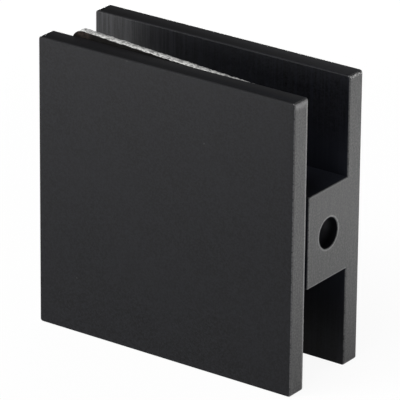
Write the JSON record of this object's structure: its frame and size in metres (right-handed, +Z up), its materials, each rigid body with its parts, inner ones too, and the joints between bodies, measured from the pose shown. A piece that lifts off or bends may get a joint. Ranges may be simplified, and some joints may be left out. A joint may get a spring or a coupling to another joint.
{
  "type": "glass panel clamp",
  "caption": "Square black wall clamp for a glass panel: a front and a rear plate joined by a block with a wall-screw hole, closed by a countersunk screw over a gasket pad.",
  "frame": {"origin": "axis of the wall-screw hole, on the face that sits against the wall", "axes": "+X towards the wall along the wall screw, +Y from the front plate to the rear plate, +Z up"},
  "size_m": [0.05, 0.0188, 0.0511],
  "materials": {
    "black_metal": "satin black over finely brushed metal",
    "black_steel": "blackened steel, low sheen",
    "gasket_rubber": "matt pad with a pale, rough cut edge"
  },
  "bodies": {
    "rear": {"rear_plate": "black_metal"},
    "front": {"front_plate": "black_metal", "gasket": "gasket_rubber"},
    "screw": {"clamp_screw": "black_steel"}
  },
  "joints": [
    {"name": "front_plate_slide", "type": "slide", "parent": "rear", "child": "front", "axis": [0, -1, 0], "range_m": [-0.00045, 0.003]},
    {"name": "clamp_screw_turn", "type": "hinge", "parent": "rear", "child": "screw", "pos_m": [-0.018, 0, 0], "axis": [0, 1, 0], "range_deg": [-163, 1081]}
  ],
  "couplings": [
    {"joint": "clamp_screw_turn", "follows": "front_plate_slide", "rad_per_m": 6283.2}
  ]
}
